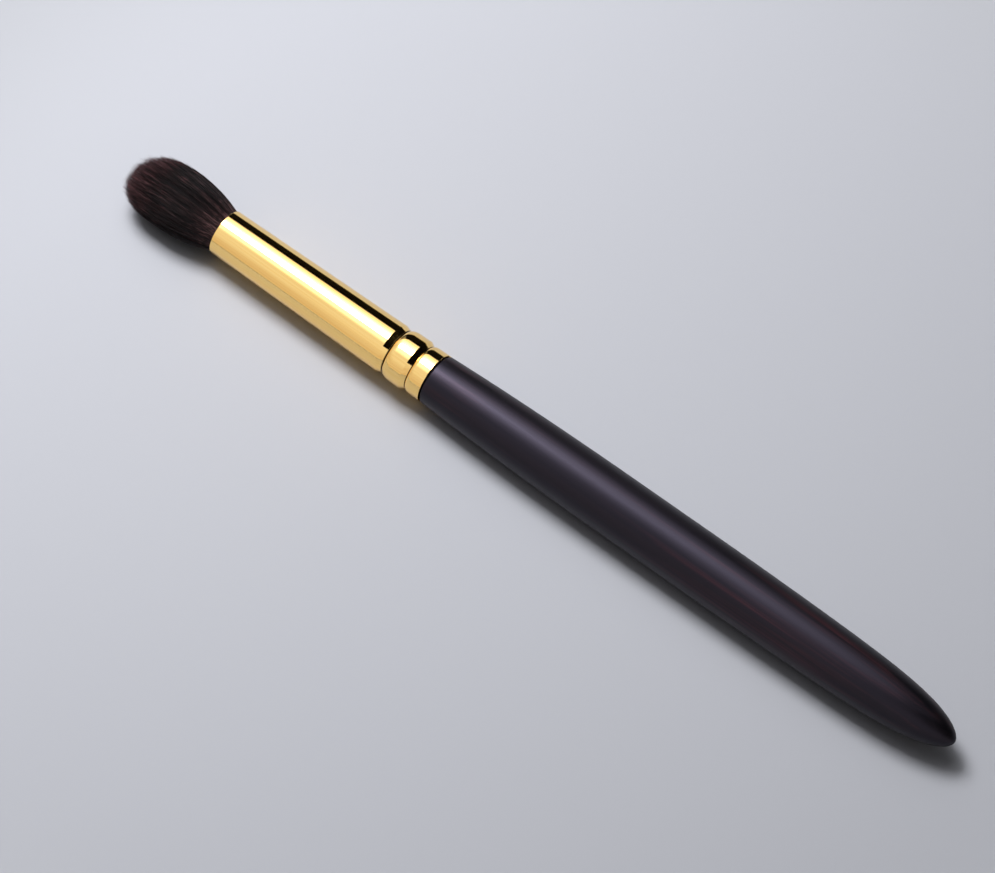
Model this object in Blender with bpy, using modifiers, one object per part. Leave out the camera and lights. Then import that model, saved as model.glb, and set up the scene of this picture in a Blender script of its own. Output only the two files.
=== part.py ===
"""Blending brush: a turned wooden handle, a crimped metal ferrule and a domed head of hair.

Every piece is laid out about one line, the brush's own axis. In that local frame Z runs along the brush with
the hair up, and zero is the handle's shoulder, where the ferrule ends. One empty then lays the whole brush
down along world X, with the hair at -X and the handle's belly on the ground plane.
"""
from math import cos, pi, radians, sin, sqrt, tan

import bmesh
import bpy
from mathutils import Vector

MM = 0.001

# General fits
CLEARANCE = 0.3 * MM
HAIR_CLEARANCE = 0.12 * MM
WELD_DISTANCE = 0.001 * MM

# Handle: the visible body
SHOULDER_DIAMETER = 8.48 * MM
BELLY_DIAMETER = 9.94 * MM
SWELL_LENGTH = 36 * MM
BELLY_LENGTH = 14 * MM
TAIL_LENGTH = 48.2 * MM
SHOULDER_CHAMFER = 0.15 * MM
SWELL_POWER = 2.25
TAIL_TAPER_SHARE = 0.18
BUTT_POWER = 8.0
BUTT_ROUNDNESS = 1.8

# Handle: the tenon inside the ferrule
TENON_LENGTH = 14 * MM
TENON_TIP_DIAMETER = 6.0 * MM
TENON_CHAMFER = 0.5 * MM

# Ferrule
MOUTH_DIAMETER = 7.9 * MM
BARREL_DIAMETER = 8.6 * MM
BEAD_DIAMETER = 8.9 * MM
LIP_DIAMETER = 8.56 * MM
GROOVE_FLOOR_DIAMETER = 7.8 * MM
WALL = 0.3 * MM
BARREL_LENGTH = 33.7 * MM
UPPER_GROOVE_WIDTH = 1.25 * MM
BEAD_LENGTH = 3.55 * MM
LOWER_GROOVE_WIDTH = 0.95 * MM
LIP_LENGTH = 2.85 * MM
RIM_ROUND = 0.1 * MM
EDGE_ROUND = 0.12 * MM
BEAD_CROWN_LENGTH = 1.5 * MM
LIP_CROWN_LENGTH = 0.9 * MM

# Hair head
HEAD_LENGTH = 19.2 * MM
HEAD_DIAMETER = 11.1 * MM
DOME_LENGTH = 8.8 * MM
DOME_POWER = 2.3
DOME_WRAP_SHARE = 0.6
FLARE_POWER = 1.1
RIM_STRANDS = 50
INNER_STRANDS = 262
STRAND_SHARE = 0.68
STRAND_SIDES = 3
STRAND_TILT = -pi / 6
STRAND_STATION_SHARES = (0.0, 0.5, 1.0)

# Hair roots, set in resin inside the ferrule
SLICE_DEPTH = 2.0 * MM
SLICE_THICKNESS = 1.0 * MM
ROOT_EMBED = 0.4 * MM
ROOT_MARGIN = 0.1 * MM
PLUG_LENGTH = 9.0 * MM
WAIST_DIAMETER = 4.6 * MM
WAIST_SLOPE = 0.8 * MM

# Binding thread
THREAD_DIAMETER = 0.5 * MM
THREAD_PITCH = 0.95 * MM
THREAD_TURNS = 4

# Glue cup round the tenon's tip
GLUE_END_THICKNESS = 0.5 * MM

# Mesh fineness: sides of the turned pieces and steps of their curves
SHARP_ANGLE = radians(35)
BODY_SIDES = 40
HIDDEN_SIDES = 24
SWELL_STEPS = 9
TAIL_STEPS = 13
TAIL_CROWDING = 2.5
FINE_ROUND_STEPS = 2
CROWN_STEPS = 5
DOME_STEPS = 400
THREAD_STEPS_PER_TURN = 10

# Derived stations along the brush's own axis
FERRULE_END = CLEARANCE
LIP_TOP = FERRULE_END + LIP_LENGTH
BEAD_BOTTOM = LIP_TOP + LOWER_GROOVE_WIDTH
BEAD_TOP = BEAD_BOTTOM + BEAD_LENGTH
BARREL_BOTTOM = BEAD_TOP + UPPER_GROOVE_WIDTH
MOUTH = BARREL_BOTTOM + BARREL_LENGTH
HAIR_TIP = MOUTH + HEAD_LENGTH
HEAD_BELLY = HAIR_TIP - DOME_LENGTH
BUTT_TIP = -(SWELL_LENGTH + BELLY_LENGTH + TAIL_LENGTH)
SLICE_TOP = MOUTH - SLICE_DEPTH
SLICE_BOTTOM = SLICE_TOP - SLICE_THICKNESS
PLUG_TOP = SLICE_BOTTOM - CLEARANCE
PLUG_BOTTOM = PLUG_TOP - PLUG_LENGTH
GLUE_TOP = TENON_LENGTH + CLEARANCE + GLUE_END_THICKNESS
NECK_REACH = WALL + CLEARANCE

# Derived radii
BELLY_RADIUS = BELLY_DIAMETER / 2
LIP_BORE = LIP_DIAMETER / 2 - WALL
BARREL_BORE = BARREL_DIAMETER / 2 - WALL
MOUTH_BORE = MOUTH_DIAMETER / 2 - WALL
TENON_RADIUS = LIP_BORE - CLEARANCE
NECK_RADIUS = GROOVE_FLOOR_DIAMETER / 2 - WALL - CLEARANCE
ROOT_RADIUS = MOUTH_BORE - CLEARANCE
HEAD_RADIUS = HEAD_DIAMETER / 2

# The lowest flat of the faceted belly lies on the ground plane
HALF_FACET = pi / BODY_SIDES
AXIS_HEIGHT = BELLY_RADIUS * cos(HALF_FACET)


def clear_scene():
    for thing in list(bpy.data.objects):
        bpy.data.objects.remove(thing, do_unlink=True)


def new_collection(name):
    collection = bpy.data.collections.new(name)
    bpy.context.scene.collection.children.link(collection)
    return collection


def new_material(name, colour, roughness, metallic=0.0):
    material = bpy.data.materials.new(name)
    material.use_nodes = True
    shader = material.node_tree.nodes["Principled BSDF"]
    shader.inputs["Base Color"].default_value = (*colour, 1.0)
    shader.inputs["Roughness"].default_value = roughness
    shader.inputs["Metallic"].default_value = metallic
    return material


def blend(start, end, share):
    """The value a share of the way from start to end."""
    return start + (end - start) * share


def rounded(corners):
    """An outline through (radius, height, rounding, steps) corners, each turned into an arc of its rounding."""
    outline = []
    places = [Vector((radius, height)) for radius, height, rounding, steps in corners]
    for index, (radius, height, rounding, steps) in enumerate(corners):
        here = places[index]
        inner = 0 < index < len(corners) - 1
        if not rounding or not inner:
            outline.append((here.x, here.y))
            continue
        back = (places[index - 1] - here).normalized()
        ahead = (places[index + 1] - here).normalized()
        half_angle = back.angle(ahead) / 2
        middle = here + (back + ahead).normalized() * rounding / sin(half_angle)
        start = here + back * rounding / tan(half_angle)
        sweep = (start - middle).angle_signed(here + ahead * rounding / tan(half_angle) - middle)
        spoke = start - middle
        for step in range(steps + 1):
            turn = -sweep * step / steps
            outline.append((
                middle.x + spoke.x * cos(turn) - spoke.y * sin(turn),
                middle.y + spoke.x * sin(turn) + spoke.y * cos(turn),
            ))
    return outline


def settle(piece):
    """Turn the modifiers' result into the piece's own mesh, smooth except at its sharp edges."""
    bpy.context.view_layer.update()
    depsgraph = bpy.context.evaluated_depsgraph_get()
    mesh = bpy.data.meshes.new_from_object(piece.evaluated_get(depsgraph))
    piece.modifiers.clear()
    piece.data = mesh
    mesh.shade_smooth()
    mesh.set_sharp_from_angle(angle=SHARP_ANGLE)


def turned(name, outline, sides, collection, axis, material, closed=False):
    """A solid turned about the brush's axis from an outline that runs down its outer side."""
    mesh = bpy.data.meshes.new(name)
    edges = [(index, index + 1) for index in range(len(outline) - 1)]
    if closed:
        edges.append((len(outline) - 1, 0))
    mesh.from_pydata([(radius, 0, height) for radius, height in outline], edges, [])
    piece = bpy.data.objects.new(name, mesh)
    collection.objects.link(piece)
    piece.parent = axis
    piece.rotation_euler.z = pi / sides
    screw = piece.modifiers.new("Turning", "SCREW")
    screw.axis = "Z"
    screw.angle = 2 * pi
    screw.steps = sides
    screw.render_steps = sides
    screw.use_merge_vertices = True
    screw.merge_threshold = WELD_DISTANCE
    mesh.materials.append(material)
    settle(piece)
    return piece


# Handle

def swell_radius(share):
    """Radius from the shoulder (share 0) to the full belly (share 1)."""
    gap = BELLY_RADIUS - SHOULDER_DIAMETER / 2
    return BELLY_RADIUS - gap * (1 - share) ** SWELL_POWER


def tail_radius(share):
    """Radius from the belly's end (share 0) to the butt's tip (share 1): a slow taper with a blunt end."""
    taper = 1 - TAIL_TAPER_SHARE * share ** 2
    end = (1 - share ** BUTT_POWER) ** (1 / BUTT_ROUNDNESS)
    return BELLY_RADIUS * taper * end


def tenon_outline():
    """The tenon from its tip to the shoulder, with a neck under each crimping groove."""
    tip_radius = TENON_TIP_DIAMETER / 2
    return [
        (0, TENON_LENGTH),
        (tip_radius - TENON_CHAMFER, TENON_LENGTH),
        (tip_radius, TENON_LENGTH - TENON_CHAMFER),
        (tip_radius, BARREL_BOTTOM + NECK_REACH),
        (NECK_RADIUS, BARREL_BOTTOM + NECK_REACH),
        (NECK_RADIUS, BEAD_TOP - NECK_REACH),
        (TENON_RADIUS, BEAD_TOP - NECK_REACH),
        (TENON_RADIUS, BEAD_BOTTOM + NECK_REACH),
        (NECK_RADIUS, BEAD_BOTTOM + NECK_REACH),
        (NECK_RADIUS, LIP_TOP - NECK_REACH),
        (TENON_RADIUS, LIP_TOP - NECK_REACH),
        (TENON_RADIUS, 0),
    ]


def handle_outline():
    outline = tenon_outline()
    outline.append((SHOULDER_DIAMETER / 2 - SHOULDER_CHAMFER, 0))
    chamfer_share = SHOULDER_CHAMFER / SWELL_LENGTH
    for step in range(SWELL_STEPS + 1):
        share = blend(chamfer_share, 1, step / SWELL_STEPS)
        outline.append((swell_radius(share), -share * SWELL_LENGTH))
    tail_start = -(SWELL_LENGTH + BELLY_LENGTH)
    for step in range(TAIL_STEPS):
        share = 1 - (1 - step / TAIL_STEPS) ** TAIL_CROWDING
        outline.append((tail_radius(share), tail_start - share * TAIL_LENGTH))
    outline.append((0, BUTT_TIP))
    return outline


# Ferrule

def crown(floor, full, top, length):
    """A rolled shoulder that springs from a groove's floor at top and rises to its full radius below it."""
    turns = [pi / 2 * step / CROWN_STEPS for step in range(CROWN_STEPS + 1)]
    return [(blend(floor, full, sin(turn)), top - length * (1 - cos(turn)), 0, 0) for turn in turns]


def ferrule_outline():
    """The drawn tube's outer face from the mouth to the lip's end, then its bore back up to the mouth.

    Each groove is a slope that runs down towards the handle and ends where the next crown springs up.
    """
    groove = GROOVE_FLOOR_DIAMETER / 2
    ridge = groove - WALL
    fine = FINE_ROUND_STEPS
    outside = rounded([
        (MOUTH_BORE, MOUTH, 0, 0),
        (MOUTH_DIAMETER / 2, MOUTH, RIM_ROUND, fine),
        (BARREL_DIAMETER / 2, BARREL_BOTTOM, EDGE_ROUND, fine),
        *crown(groove, BEAD_DIAMETER / 2, BEAD_TOP, BEAD_CROWN_LENGTH),
        (BEAD_DIAMETER / 2, BEAD_BOTTOM, EDGE_ROUND, fine),
        *crown(groove, LIP_DIAMETER / 2, LIP_TOP, LIP_CROWN_LENGTH),
        (LIP_DIAMETER / 2, FERRULE_END, EDGE_ROUND, fine),
        (LIP_BORE, FERRULE_END, 0, 0),
    ])
    bore = [
        (LIP_BORE, LIP_TOP - WALL),
        (ridge, LIP_TOP - WALL),
        (ridge, BEAD_BOTTOM + WALL),
        (LIP_BORE, BEAD_BOTTOM + WALL),
        (LIP_BORE, BEAD_TOP - WALL),
        (ridge, BEAD_TOP - WALL),
        (ridge, BARREL_BOTTOM + WALL),
        (BARREL_BORE, BARREL_BOTTOM + WALL),
    ]
    return outside + bore


# Hair head

def dome_radius(share):
    """Outline of the dome, from the head's belly (share 0) to the hair's tip (share 1)."""
    return HEAD_RADIUS * sqrt(1 - share ** DOME_POWER)


def spread_radius(height):
    """Radius to which the outermost hairs have spread at a height above the shoulder."""
    root_spread = ROOT_RADIUS * cos(pi / HIDDEN_SIDES) - ROOT_MARGIN
    mouth_spread = MOUTH_BORE - HAIR_CLEARANCE
    if height <= SLICE_TOP:
        return root_spread
    if height <= MOUTH:
        return blend(root_spread, mouth_spread, (height - SLICE_TOP) / SLICE_DEPTH)
    if height >= HEAD_BELLY:
        return dome_radius(DOME_WRAP_SHARE * (height - HEAD_BELLY) / DOME_LENGTH)
    below = (HEAD_BELLY - height) / (HEAD_BELLY - MOUTH)
    return blend(mouth_spread, HEAD_RADIUS, (1 - below ** 2) ** FLARE_POWER)


def strand_places():
    """Where each strand stands in the round bundle, as a share of its radius and an angle."""
    pitch_share = sqrt(pi / (RIM_STRANDS + INNER_STRANDS))
    inner_share = 1 - pitch_share
    golden_angle = pi * (3 - sqrt(5))
    places = [
        (inner_share * sqrt((index + 0.5) / INNER_STRANDS), index * golden_angle)
        for index in range(INNER_STRANDS)
    ]
    places += [(1.0, 2 * pi * index / RIM_STRANDS) for index in range(RIM_STRANDS)]
    return places


def strand_thickness(height):
    """A strand's radius, which grows with the room that the spread gives it."""
    return STRAND_SHARE * spread_radius(height) / sqrt(RIM_STRANDS + INNER_STRANDS)


def strand_reach(height):
    """How far from the axis the outermost strands' centres stand."""
    return spread_radius(height) - strand_thickness(height)


def tip_height(place_share):
    """Height at which a strand that keeps its share of the spread comes out of the dome."""
    for step in range(DOME_STEPS + 1):
        share = step / DOME_STEPS
        height = HEAD_BELLY + share * DOME_LENGTH
        if place_share * strand_reach(height) >= dome_radius(share):
            return height
    return HAIR_TIP


def strand_point(place_share, angle, height):
    """A strand's centre, with the underside of the head pressed up to where the handle's belly lies."""
    thickness = strand_thickness(height)
    reach = strand_reach(height)
    up = place_share * reach * cos(angle)
    across = place_share * reach * sin(angle)
    pressed_reach = AXIS_HEIGHT - thickness
    if up < 0 and reach > pressed_reach:
        up *= pressed_reach / reach
    return up, across, height


def strands_curve(collection, axis):
    """All strands as one curve of straight runs, each with a three-sided section that ends in a point."""
    section = bpy.data.curves.new("strand_section", "CURVE")
    corners = section.splines.new("POLY")
    corners.points.add(STRAND_SIDES - 1)
    corners.use_cyclic_u = True
    for index, point in enumerate(corners.points):
        angle = 2 * pi * index / STRAND_SIDES
        point.co = (cos(angle), sin(angle), 0, 1)
    section_guide = bpy.data.objects.new("strand_section", section)
    collection.objects.link(section_guide)

    curve = bpy.data.curves.new("strands", "CURVE")
    curve.dimensions = "3D"
    curve.bevel_mode = "OBJECT"
    curve.bevel_object = section_guide
    curve.use_fill_caps = True
    for place_share, angle in strand_places():
        heights = [SLICE_TOP - ROOT_EMBED]
        heights += [blend(MOUTH, HEAD_BELLY, share) for share in STRAND_STATION_SHARES]
        tip = tip_height(place_share)
        spline = curve.splines.new("POLY")
        spline.points.add(len(heights))
        for point, height in zip(spline.points, heights + [tip]):
            point.co = (*strand_point(place_share, angle, height), 1)
            point.radius = strand_thickness(height)
            point.tilt = STRAND_TILT
        spline.points[-1].radius = 0
    guide = bpy.data.objects.new("strands", curve)
    collection.objects.link(guide)
    guide.parent = axis
    return guide, section_guide


def as_welded_mesh(curve_object, collection):
    """The curve's tube as a closed mesh object, which Boolean modifiers can read."""
    depsgraph = bpy.context.evaluated_depsgraph_get()
    mesh = bpy.data.meshes.new_from_object(curve_object.evaluated_get(depsgraph))
    form = bmesh.new()
    form.from_mesh(mesh)
    bmesh.ops.remove_doubles(form, verts=form.verts, dist=WELD_DISTANCE)
    bmesh.ops.recalc_face_normals(form, faces=form.faces)
    form.to_mesh(mesh)
    form.free()
    name = curve_object.name
    piece = bpy.data.objects.new(name + "_solid", mesh)
    collection.objects.link(piece)
    piece.parent = curve_object.parent
    bpy.data.objects.remove(curve_object, do_unlink=True)
    return piece


def hair_tuft(collection, guides, axis, material):
    slice_outline = [(0, SLICE_TOP), (ROOT_RADIUS, SLICE_TOP), (ROOT_RADIUS, SLICE_BOTTOM), (0, SLICE_BOTTOM)]
    tuft = turned("hair_tuft", slice_outline, HIDDEN_SIDES, collection, axis, material)
    curve, section_guide = strands_curve(guides, axis)
    strands = as_welded_mesh(curve, guides)
    strands.hide_render = True
    strands.display_type = "WIRE"
    section_guide.hide_render = True
    section_guide.display_type = "WIRE"
    join = tuft.modifiers.new("Strands set in resin", "BOOLEAN")
    join.operation = "UNION"
    join.solver = "EXACT"
    join.object = strands
    settle(tuft)
    return tuft


# Root block, thread and glue

def plug_outline():
    """The resin block of hair roots, drawn in to a waist for the thread."""
    waist = WAIST_DIAMETER / 2
    middle = (PLUG_TOP + PLUG_BOTTOM) / 2
    half_waist = (THREAD_TURNS * THREAD_PITCH + THREAD_DIAMETER) / 2 + CLEARANCE
    return [
        (0, PLUG_TOP),
        (ROOT_RADIUS, PLUG_TOP),
        (ROOT_RADIUS, middle + half_waist + WAIST_SLOPE),
        (waist, middle + half_waist),
        (waist, middle - half_waist),
        (ROOT_RADIUS, middle - half_waist - WAIST_SLOPE),
        (ROOT_RADIUS, PLUG_BOTTOM),
        (0, PLUG_BOTTOM),
    ]


def binding_thread(collection, axis, material):
    curve = bpy.data.curves.new("binding_thread", "CURVE")
    curve.dimensions = "3D"
    curve.bevel_depth = THREAD_DIAMETER / 2
    curve.bevel_resolution = 1
    curve.use_fill_caps = True
    steps = THREAD_TURNS * THREAD_STEPS_PER_TURN
    radius = WAIST_DIAMETER / 2 + CLEARANCE + THREAD_DIAMETER / 2
    bottom = (PLUG_TOP + PLUG_BOTTOM - THREAD_TURNS * THREAD_PITCH) / 2
    spline = curve.splines.new("POLY")
    spline.points.add(steps)
    for index, point in enumerate(spline.points):
        turns = index / THREAD_STEPS_PER_TURN
        angle = 2 * pi * turns
        point.co = (radius * cos(angle), radius * sin(angle), bottom + turns * THREAD_PITCH, 1)
    guide = bpy.data.objects.new("thread_route", curve)
    collection.objects.link(guide)
    guide.parent = axis
    thread = as_welded_mesh(guide, collection)
    thread.name = "binding_thread"
    thread.data.materials.clear()
    thread.data.materials.append(material)
    settle(thread)
    return thread


def glue_outline():
    """A cup of glue over the tenon's tip, open towards the handle."""
    outer = BARREL_BORE - CLEARANCE
    inner = TENON_TIP_DIAMETER / 2 + CLEARANCE
    mouth = BARREL_BOTTOM + NECK_REACH + CLEARANCE
    floor_height = TENON_LENGTH + CLEARANCE
    return [
        (0, GLUE_TOP),
        (outer, GLUE_TOP),
        (outer, mouth),
        (inner, mouth),
        (inner, floor_height),
        (0, floor_height),
    ]


def build():
    clear_scene()
    brush = new_collection("blending_brush")
    guides = new_collection("construction")

    axis = bpy.data.objects.new("brush_axis", None)
    brush.objects.link(axis)
    axis.location = ((HAIR_TIP + BUTT_TIP) / 2, 0, AXIS_HEIGHT)
    axis.rotation_euler = (0, radians(-90), 0)
    bpy.context.view_layer.update()

    ebony = new_material("ebony", (0.012, 0.010, 0.011), 0.38)
    gold = new_material("gold_plate", (0.83, 0.57, 0.20), 0.12, metallic=1.0)
    hair = new_material("natural_hair", (0.035, 0.020, 0.018), 0.6)
    resin = new_material("root_resin", (0.30, 0.18, 0.08), 0.35)
    cotton = new_material("cotton_thread", (0.62, 0.58, 0.50), 0.8)
    glue = new_material("epoxy_glue", (0.70, 0.62, 0.42), 0.3)

    turned("handle", handle_outline(), BODY_SIDES, brush, axis, ebony)
    turned("ferrule", ferrule_outline(), BODY_SIDES, brush, axis, gold, closed=True)
    hair_tuft(brush, guides, axis, hair)
    turned("root_plug", plug_outline(), HIDDEN_SIDES, brush, axis, resin)
    binding_thread(brush, axis, cotton)
    turned("tenon_glue", glue_outline(), HIDDEN_SIDES, brush, axis, glue)


build()
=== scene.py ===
# %% [markdown]
# # A blending brush, lying on its side
#
# A make-up brush of this kind is three things: a bundle of soft hair, a drawn and crimped metal ferrule
# that holds it, and a turned wooden handle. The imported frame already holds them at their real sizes, as
# faceted solids. This lesson makes the fine surfaces that the eye sees: a polished gold tube with rolled
# grooves, a satin ebony handle, and several thousand tapered hairs. Every length is in metres, written as
# millimetres times MM.

# %% The frame
from math import ceil, cos, pi, radians, sin, sqrt, tan

import bpy
import numpy as np
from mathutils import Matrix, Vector


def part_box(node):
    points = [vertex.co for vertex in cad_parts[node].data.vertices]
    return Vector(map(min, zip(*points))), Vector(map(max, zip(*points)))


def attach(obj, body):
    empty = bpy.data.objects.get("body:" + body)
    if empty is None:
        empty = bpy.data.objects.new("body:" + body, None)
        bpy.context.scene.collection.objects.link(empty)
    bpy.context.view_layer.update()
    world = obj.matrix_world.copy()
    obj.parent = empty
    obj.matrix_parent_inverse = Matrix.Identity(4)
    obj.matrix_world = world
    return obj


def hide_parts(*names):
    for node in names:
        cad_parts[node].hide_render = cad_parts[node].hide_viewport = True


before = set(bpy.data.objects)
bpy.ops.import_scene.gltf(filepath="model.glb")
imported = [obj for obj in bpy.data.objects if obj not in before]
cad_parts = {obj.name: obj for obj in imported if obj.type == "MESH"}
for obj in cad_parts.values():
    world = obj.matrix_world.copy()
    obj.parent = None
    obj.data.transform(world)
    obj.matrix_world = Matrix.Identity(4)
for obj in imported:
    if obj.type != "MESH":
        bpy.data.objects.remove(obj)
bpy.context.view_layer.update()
MM = 0.001
print("nodes:", sorted(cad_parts))

# %% [markdown]
# ## Where the brush lies
#
# All pieces are turned about one line, so each is modelled upright, with Z along the brush and zero at
# the handle's shoulder, and then laid down by its object's rotation. The line's height and the shoulder's
# place are read from the frame, so nothing has to be fitted by eye. The ferrule's end stands off the
# shoulder by a thin seam.

# %% The brush's own axis
_, ferrule_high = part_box("ferrule")
handle_low, handle_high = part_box("handle")
hair_low, hair_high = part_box("hair_tuft")

SEAM = 0.3 * MM
AXIS_HEIGHT = (handle_low.z + handle_high.z) / 2
SHOULDER = Vector((ferrule_high.x + SEAM, 0, AXIS_HEIGHT))
LAID_DOWN = (0, -pi / 2, 0)
print("axis height in mm:", round(AXIS_HEIGHT / MM, 3), "shoulder x in mm:", round(SHOULDER.x / MM, 2))


def lay_down(piece):
    """Puts an upright piece in its place on the lying brush."""
    bpy.context.scene.collection.objects.link(piece)
    piece.location = SHOULDER
    piece.rotation_euler = LAID_DOWN


# %% [markdown]
# ## Camera
#
# The photograph looks down steeply from the handle's side with a long lens, so the brush hardly tapers
# with distance. The lens, the two angles, the distance and the aim were fitted to the brush's two ends
# and to the ellipses of the ferrule's rims.

# %% The photograph's viewpoint
SENSOR = 36.0
FOCAL_PIXELS = 4000.0
IMAGE_WIDTH_PIXELS = 995
AZIMUTH = radians(38.17)
ELEVATION = radians(63.0)
DISTANCE = 615.2 * MM
AIM = Vector((-4.66 * MM, -1.88 * MM, AXIS_HEIGHT))

camera_data = bpy.data.cameras.new("photo_camera")
camera_data.sensor_width = SENSOR
camera_data.lens = FOCAL_PIXELS * SENSOR / IMAGE_WIDTH_PIXELS
camera_data.clip_start = 10 * MM
camera_data.clip_end = 20.0
camera = bpy.data.objects.new("photo_camera", camera_data)
bpy.context.scene.collection.objects.link(camera)
towards_camera = Vector((
    sin(AZIMUTH) * cos(ELEVATION),
    -cos(AZIMUTH) * cos(ELEVATION),
    sin(ELEVATION),
))
camera.location = AIM + DISTANCE * towards_camera
camera.rotation_euler = towards_camera.to_track_quat("Z", "Y").to_euler()
bpy.context.scene.camera = camera
bpy.context.scene.view_settings.view_transform = "Standard"
print("lens in mm:", round(camera_data.lens, 1))

# %% [markdown]
# ## Helpers for materials
#
# Colours are easier to judge and to talk about as the sRGB hex values of a colour picker, but the
# renderer counts light, so one function turns them to linear values. Node trees are easier to read when
# each node is one call that names its settings and what feeds it. A third helper starts a material with
# its place in metres, so that every pattern can be given a real size. The last tells a ray that looks at
# a surface or mirrors it from light that is spread, which the floor and the room need.

# %% Colour and node helpers


def linear(hex_colour, alpha=1.0):
    """The linear RGBA of an sRGB hex colour such as #D4A35B."""
    channels = [int(hex_colour[start:start + 2], 16) / 255 for start in (1, 3, 5)]
    return (*(c / 12.92 if c <= 0.04045 else ((c + 0.055) / 1.055) ** 2.4 for c in channels), alpha)


def add(tree, kind, feeds=None, **settings):
    """A new node with its settings; feeds gives each input its value or the socket that feeds it."""
    made = tree.nodes.new("ShaderNode" + kind)
    for name, value in settings.items():
        setattr(made, name, value)
    for name, value in (feeds or {}).items():
        if isinstance(value, bpy.types.NodeSocket):
            tree.links.new(value, made.inputs[name])
        else:
            made.inputs[name].default_value = value
    return made


def new_material(name):
    """A material with its node tree, its Principled shader and its object coordinates in metres."""
    material = bpy.data.materials.new(name)
    material.use_nodes = True
    tree = material.node_tree
    place = add(tree, "TexCoord").outputs["Object"]
    return material, tree, tree.nodes["Principled BSDF"], place


def seen_directly(tree):
    """A socket that is 1 for what the camera, a mirror or glass shows, and 0 for light that is spread."""
    rays = add(tree, "LightPath").outputs
    bounced = {0: rays["Is Glossy Ray"], 1: rays["Is Transmission Ray"]}
    mirrored = add(tree, "Math", bounced, operation="MAXIMUM")
    looking = {0: rays["Is Camera Ray"], 1: mirrored.outputs[0]}
    return add(tree, "Math", looking, operation="MAXIMUM").outputs[0]


# Where a colour Mix node has its factor, its two colours and its result
MIX_FACTOR, MIX_A, MIX_B, MIX_RESULT = 0, 6, 7, 2
print("the mid grey #808080 in linear light:", round(linear("#808080")[0], 3))

# %% [markdown]
# ## The floor
#
# Polished gold has little to show until it mirrors something, so what stands round the brush matters as
# much as the gold's own material. The brush lies on a matt, pale painted table. It could be a plane of
# one colour under even light, but small lamps light only its middle. So near the brush the floor is lit
# and takes the shadow, and further out, whatever looks at it directly sees it pass into an even glow of
# nearly its own colour. The glow lights nothing.

# %% The floor
FLOOR_SIZE = 8.0
FLOOR_DROP = 0.02 * MM
FADE_START = 0.085
FADE_END = 0.165

floor_material, tree, shader, place = new_material("matte_painted_table")
shader.inputs["Base Color"].default_value = linear("#C4C6CA")
shader.inputs["Roughness"].default_value = 0.85
shader.inputs["Specular IOR Level"].default_value = 0.2
distance = add(tree, "VectorMath", {0: place}, operation="LENGTH")
fading = add(tree, "MapRange", {
    "Value": distance.outputs["Value"],
    "From Min": FADE_START,
    "From Max": FADE_END,
}, interpolation_type="SMOOTHSTEP")
fade = add(tree, "Math", {0: seen_directly(tree), 1: fading.outputs["Result"]}, operation="MULTIPLY")
far_glow = add(tree, "Emission", {"Color": linear("#C3C5CA")})
blended = add(tree, "MixShader", {0: fade.outputs[0], 1: shader.outputs[0], 2: far_glow.outputs[0]})
tree.links.new(blended.outputs[0], tree.nodes["Material Output"].inputs["Surface"])

bpy.ops.mesh.primitive_plane_add(size=FLOOR_SIZE, location=(0, 0, -FLOOR_DROP))
floor = bpy.context.object
floor.name = "floor"
floor.data.materials.append(floor_material)
print("floor:", floor.name)

# %% [markdown]
# ## The room
#
# The photograph's gold is orange-gold below its near-white band: there it mirrors a pale room. One colour
# all round would do, but the gold darkens and warms towards its lower edge, so the walls are a little
# darker and warmer low down. A mirror sees the room at full strength, while the light that it gives is
# weak, so that the soft boxes give the brush its shading.

# %% The room
ROOM_LIGHT = 0.08
ROOM_SEEN = 1.0
LOW_ELEVATION = radians(17)
HIGH_ELEVATION = radians(40)

world = bpy.data.worlds.new("pale_room")
world.use_nodes = True
tree = world.node_tree
upward = add(tree, "SeparateXYZ", {"Vector": add(tree, "TexCoord").outputs["Generated"]}).outputs["Z"]
high_share = add(tree, "MapRange", {
    "Value": upward,
    "From Min": sin(LOW_ELEVATION),
    "From Max": sin(HIGH_ELEVATION),
})
wall_colour = add(
    tree,
    "Mix",
    {MIX_FACTOR: high_share.outputs["Result"], MIX_A: linear("#E4DAD4"), MIX_B: linear("#F8F9FF")},
    data_type="RGBA",
)
strength = add(tree, "MapRange", {"Value": seen_directly(tree), "To Min": ROOM_LIGHT, "To Max": ROOM_SEEN})
tree.links.new(wall_colour.outputs[MIX_RESULT], tree.nodes["Background"].inputs["Color"])
tree.links.new(strength.outputs["Result"], tree.nodes["Background"].inputs["Strength"])
bpy.context.scene.world = world
print("room:", world.name)

# %% [markdown]
# ## The soft boxes
#
# The near-white band along the gold is a large soft box above the hair end. One area lamp would show a
# hard rim in so good a mirror, while a real soft box is brightest in its middle and fades. So it is made
# of five lamps: a bright core with a weak tail towards the handle, and three larger, weaker ones that lie
# over the core. A weak box at the side lifts the hair's tip. An area lamp's strength is set as a total,
# so each total is worked out from how bright its face is and how large it is.

# %% The soft boxes
COOL_WHITE = linear("#FAFAFF")[:3]
SOFT_BOX_DISTANCE = 420 * MM
SIDE_BOX_SIZE = 360 * MM
SIDE_BOX_PLACE = Vector((-480, 300, 300)) * MM
SIDE_BOX_RADIANCE = 0.3


def lamp_box(name, length, width, radiance):
    """A rectangular lamp that every point of its face gives the radiance, hidden from the camera."""
    lamp = bpy.data.lights.new(name, "AREA")
    lamp.shape = "RECTANGLE"
    lamp.color = COOL_WHITE
    lamp.size = length
    lamp.size_y = width
    lamp.energy = radiance * pi * length * width
    box = bpy.data.objects.new(name, lamp)
    bpy.context.scene.collection.objects.link(box)
    box.visible_camera = False
    return box


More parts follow.
